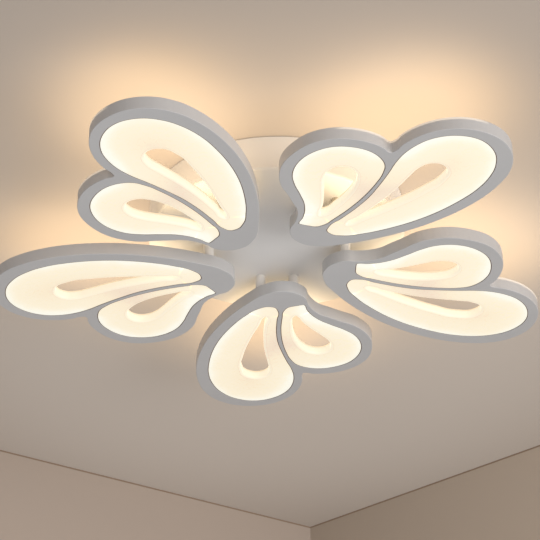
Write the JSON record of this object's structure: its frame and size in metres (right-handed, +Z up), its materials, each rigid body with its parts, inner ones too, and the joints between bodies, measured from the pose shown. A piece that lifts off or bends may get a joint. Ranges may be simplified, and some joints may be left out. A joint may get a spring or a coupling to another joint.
{
  "type": "led ceiling light",
  "caption": "Flush ceiling light with lit butterfly-wing heads on short posts around a round white pan, each head with a large and a small opal lobe.",
  "frame": {"origin": "centre of the ceiling bracket's top face, in the ceiling plane", "axes": "+Z up into the ceiling, +X along the ceiling bracket through both its slots"},
  "size_m": [0.7545, 0.768, 0.092],
  "materials": {
    "white_paint": "satin white powder coat",
    "opal_acrylic": "lit opal acrylic, warm white",
    "back_acrylic": "translucent white acrylic sheet",
    "led_strip": "white board with yellow chips",
    "zinc_steel": "bright zinc",
    "nickel": "satin nickel",
    "lead_sleeve": "white sleeving",
    "earth_sleeve": "green and yellow sleeving",
    "driver_case": "white flame-proof plastic",
    "white_plastic": "moulded white plastic"
  },
  "bodies": {
    "fixture": {"canopy_pan": "white_paint", "ceiling_bracket": "zinc_steel", "earth_lead": "earth_sleeve", "lead_hub": "white_plastic", "led_driver": "driver_case", "mains_leads": "lead_sleeve", "plate_screws": "zinc_steel", "sheet_screws": "zinc_steel", "stud_nuts": "zinc_steel", "terminal_block": "white_plastic", "threaded_tubes": "zinc_steel", "tube_nuts": "zinc_steel", "wing_1_back_sheet": "back_acrylic", "wing_1_frame": "white_paint", "wing_1_large_diffuser": "opal_acrylic", "wing_1_large_led_strip": "led_strip", "wing_1_leads": "lead_sleeve", "wing_1_posts": "white_paint", "wing_1_root_plate": "zinc_steel", "wing_1_small_diffuser": "opal_acrylic", "wing_1_small_led_strip": "led_strip", "wing_2_back_sheet": "back_acrylic", "wing_2_frame": "white_paint", "wing_2_large_diffuser": "opal_acrylic", "wing_2_large_led_strip": "led_strip", "wing_2_leads": "lead_sleeve", "wing_2_posts": "white_paint", "wing_2_root_plate": "zinc_steel", "wing_2_small_diffuser": "opal_acrylic", "wing_2_small_led_strip": "led_strip", "wing_3_back_sheet": "back_acrylic", "wing_3_frame": "white_paint", "wing_3_large_diffuser": "opal_acrylic", "wing_3_large_led_strip": "led_strip", "wing_3_leads": "lead_sleeve", "wing_3_posts": "white_paint", "wing_3_root_plate": "zinc_steel", "wing_3_small_diffuser": "opal_acrylic", "wing_3_small_led_strip": "led_strip", "wing_4_back_sheet": "back_acrylic", "wing_4_frame": "white_paint", "wing_4_large_diffuser": "opal_acrylic", "wing_4_large_led_strip": "led_strip", "wing_4_leads": "lead_sleeve", "wing_4_posts": "white_paint", "wing_4_root_plate": "zinc_steel", "wing_4_small_diffuser": "opal_acrylic", "wing_4_small_led_strip": "led_strip", "wing_5_back_sheet": "back_acrylic", "wing_5_frame": "white_paint", "wing_5_large_diffuser": "opal_acrylic", "wing_5_large_led_strip": "led_strip", "wing_5_leads": "lead_sleeve", "wing_5_posts": "white_paint", "wing_5_root_plate": "zinc_steel", "wing_5_small_diffuser": "opal_acrylic", "wing_5_small_led_strip": "led_strip"},
    "cap_1": {"cap_nut_1": "nickel"},
    "cap_2": {"cap_nut_2": "nickel"}
  },
  "joints": [
    {"name": "cap_nut_1_turn", "type": "hinge", "parent": "fixture", "child": "cap_1", "pos_m": [0.129, 0, -0.057], "axis": [0, 0, 1], "continuous": true},
    {"name": "cap_nut_2_turn", "type": "hinge", "parent": "fixture", "child": "cap_2", "pos_m": [-0.129, 0, -0.057], "axis": [0, 0, 1], "continuous": true}
  ]
}
